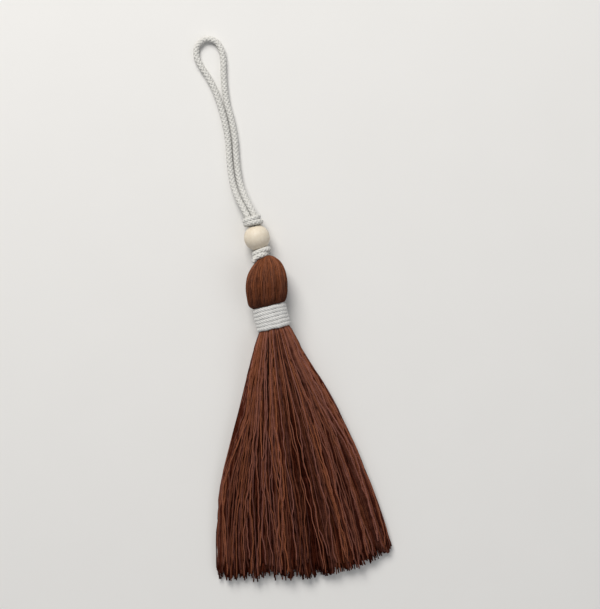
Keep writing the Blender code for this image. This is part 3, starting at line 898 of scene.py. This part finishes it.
def skirt_layer(layer):
    """Threads side by side across the skirt, in small locks that part towards the ends."""
    rng = np.random.default_rng(layer.seed)
    count, share = layer.count, steps_down(layer.steps)
    u0 = (ranks(rng, count) * 2 - 1) * EDGE_REACH
    lock = gathered(rng, count, layer.lock)
    middle = lock_middles(lock, u0)
    locks = len(middle)
    pull = rng.uniform(0.2, 0.8, locks)[lock]
    sway = layer.sway * 0.6 * wander(rng, locks, share, 0.8)[lock]
    length = 0.4 * layer.spread * rng.normal(0, 1, locks)[lock]
    end = layer.ends + length + rng.normal(0, layer.spread, count) + lock_reach(u0)
    down = np.clip(end, SHORTEST, LONGEST)[:, None] * share
    tangle = np.exp(-down / TANGLE_LENGTH)

    moved = (middle[lock] - u0) * pull + parted(u0) * layer.part
    sway += layer.sway * 0.75 * wander(rng, count, share, 1.3)
    kink = layer.kink * varied(rng, count, 0.4, 1.4) * wander(rng, count, share, 10.0)
    kink *= 0.6 + 0.6 * share
    frizz = FRIZZ * varied(rng, count, 0.3, 1.3) * wander(rng, count, share, FRIZZ_CYCLES) * tangle
    sideways = sway * ease(down * 2.6) + (kink + frizz) * ease(down * 12)
    u = u0[:, None] + moved[:, None] * ease(down * 1.8) + sideways / half_width(down)
    u = np.clip(u, -FURTHEST, FURTHEST)

    radii = layer.thread * (0.58 + 0.42 * ease(down / 0.25)) * varied(rng, count, 0.75, 1.2)
    paths = skirt_point(u, float(layer.top), down, radii)
    sunk = rng.uniform(*layer.sunk, count)
    inward = (-1.0 if layer.top else 1.0) * sunk[:, None] * np.sqrt(np.clip(1.02 - u * u, 0, 1))
    waves = 0.22 * wander(rng, count, share, 1.8) + 0.08 * wander(rng, count, share, 9.0)
    waves += RUFFLE * wander(rng, count, share, RUFFLE_CYCLES) * tangle
    apart = 0.6 + 0.4 * ease(down * 3)
    paths[..., 2] += (inward + waves) * apart + varied(rng, count, -0.25, 0.25)
    rest_on_floor(paths, radii)

    low, high = layer.tint
    # painted shade: threads lying lower in their layer are painted darker, on top of random tone by lock
    # and by thread
    deep = (sunk - layer.sunk[0]) / (layer.sunk[1] - layer.sunk[0])
    tints = high - (high - low) * (0.45 * deep + 0.2 * rng.random(locks)[lock] + 0.35 * rng.random(count))
    halfway = layer.steps // 2
    # painted shade: threads in the valley are painted darker
    tints *= 1 - VALLEY_SHADE * valley_share(u[:, halfway], down[:, halfway])
    return thread_piece(layer.name, paths, radii, layer.sides, tints, layer.look, layer.fade)


def side_threads():
    """Threads down the skirt's two flanks, between its upper and under layers."""
    rng = np.random.default_rng(48)
    count, share, thread = 150, steps_down(64), 0.26
    side = np.where(np.arange(count) % 2 == 0, -1.0, 1.0)[:, None]
    rank = ranks(rng, count)[:, None]
    down = rng.normal(0.985, 0.013, count).clip(SHORTEST, 1.02)[:, None] * share
    lower = ease(down * 1.6)
    round_way = math.radians(64) * (2 * rank - 1)         # places round the neck's sides
    at_edge = EDGE_REACH - varied(rng, count, 0.0, 0.16)
    u = side * (EDGE_REACH * np.cos(round_way) * (1 - lower) + at_edge * lower)
    u += (0.5 * wander(rng, count, share, 1.3) * ease(down * 2)
          + 0.18 * wander(rng, count, share, 6.5) * ease(down * 5)) / half_width(down)
    u = np.clip(u, -FURTHEST, FURTHEST)
    w = np.clip(0.5 + 6 * (rank - 0.5), 0, 1) * (1 - lower) + rank * lower
    radii = thread * (0.75 + 0.25 * lower) * varied(rng, count, 0.75, 1.2)
    paths = skirt_point(u, w, down, radii)
    paths[..., 2] -= 0.35 * rng.random((count, 1))
    rest_on_floor(paths, radii)
    tints = rng.uniform(0.0, 0.75, count)
    thread_piece("skirt_side_threads", paths, radii, 5, tints, SKIRT_THREAD, 0.8)


def loose_threads():
    """Single threads that stray over the skirt, and some that leave it at the sides."""
    rng = np.random.default_rng(47)
    share, thread = steps_down(80), 0.19
    over, aside = 16, 12
    count = over + aside
    side = np.where(rng.random(aside) < 0.5, -1.0, 1.0)
    u0 = np.concatenate([rng.uniform(-0.8, 0.8, over), side * rng.uniform(0.82, 0.93, aside)])
    outward = np.concatenate([rng.normal(0, 2.2, over), side * rng.uniform(0.8, 2.6, aside)])
    down = varied(rng, count, 0.94, 1.02) * share
    sideways = outward[:, None] * share ** 2 + 0.8 * wander(rng, count, share, 1.5) * ease(down * 2)
    kink = 0.35 * wander(rng, count, share, 8.0) * ease(down * 3 - 0.6)
    u = np.clip(u0[:, None] + (sideways + kink) / half_width(down), -1.05, 1.05)
    radii = np.full(down.shape, thread) * varied(rng, count, 0.85, 1.15)
    paths = skirt_point(u, 1.0, down, radii)
    lift = np.concatenate([rng.uniform(0.1, 0.7, over), np.zeros(aside)])
    paths[..., 2] += lift[:, None] * ease(down * 3)
    paths[over:, :, 2] *= 1 - 0.75 * share ** 2
    rest_on_floor(paths, radii)
    tints = rng.uniform(0.4, 1.0, count)
    thread_piece("skirt_loose_threads", paths, radii, 5, tints, SKIRT_THREAD, 0.5)


def skirt_filling():
    """Short lengths between the layers, which show only at the skirt's ends."""
    rng = np.random.default_rng(45)
    count, share, thread, start = 320, np.linspace(0.0, 1.0, 16), 0.27, 0.62
    u0 = (ranks(rng, count) * 2 - 1) * 0.97
    end = np.clip(0.985 + rng.normal(0, 0.019, count) + lock_reach(u0), SHORTEST, 1.025)
    down = start + (end[:, None] - start) * share
    u = np.clip(u0[:, None] + 0.5 * wander(rng, count, share, 1.0) / half_width(down), -0.99, 0.99)
    radii = np.full(down.shape, thread)
    paths = skirt_point(u, varied(rng, count, 0.15, 0.75), down, radii)
    rest_on_floor(paths, radii)
    tints = rng.random(count)
    thread_piece("skirt_inner_threads", paths, radii, 5, tints, SHADED_SKIRT_THREAD, 0.2)


def skirt_heart():
    """Painted shade: a dark body inside the skirt, well within the threads, for the shade in there."""
    around, width, thread, top_inset, bottom_inset = 48, 0.9, 0.3, 2.3, 0.7
    angle = 2 * math.pi * np.arange(around) / around
    u = -np.cos(angle) * width
    upper = angle < math.pi
    rings = []
    for down in np.linspace(0.0, 0.92, 30):
        ring = skirt_point(u, np.where(upper, 1.0, 0.0), np.full(around, down), thread)
        middle_z = (ring[:, 2].max() + ring[:, 2].min()) / 2
        inset = np.minimum(np.abs(ring[:, 2] - middle_z),
                           np.where(upper, top_inset, bottom_inset) * ease(down * 1.2))
        ring[:, 2] += np.where(upper, -1.0, 1.0) * inset
        rings.append(ring)
    lofted("skirt_heart", np.array(rings), SHADE_FILL_THREAD)


def skirt():
    made = [skirt_layer(layer) for layer in LAYERS]
    side_threads()
    loose_threads()
    skirt_filling()
    skirt_heart()
    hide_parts("thread_bundle")


head_threads()
head_heart()
skirt()


# ---------------------------------------------------------------------------------------------
# Floor and light
# ---------------------------------------------------------------------------------------------
def round_lamp(name, location, size, power, color):
    """A round soft light that faces the tassel."""
    lamp = bpy.data.lights.new(name, "AREA")
    lamp.shape = "DISK"
    lamp.size = size
    lamp.energy = power
    lamp.color = color
    made = bpy.data.objects.new(name, lamp)
    made.location = location
    x, y, z = location
    made.rotation_euler = (math.atan2(math.hypot(x, y), z), 0.0, math.atan2(-y, -x) - math.pi / 2)
    bpy.context.scene.collection.objects.link(made)


def stage():
    bpy.ops.mesh.primitive_plane_add(size=4.0, location=(0, 0, 0))
    floor = bpy.context.active_object
    floor.name = "floor"
    floor.data.materials.append(FLOOR)
    round_lamp("window_light", (-0.1, 0.85, 0.8), 0.7, 12.5, (1.0, 0.98, 0.95))
    round_lamp("fill_light", (0.7, -0.5, 0.9), 0.9, 2.0, (0.97, 0.98, 1.0))
    world = bpy.data.worlds.new("studio")
    bpy.context.scene.world = world
    world.use_nodes = True
    sky = world.node_tree.nodes["Background"]
    sky.inputs["Color"].default_value = (0.95, 0.97, 1.0, 1.0)
    sky.inputs["Strength"].default_value = 0.28
    bpy.context.scene.view_settings.view_transform = "Standard"


stage()
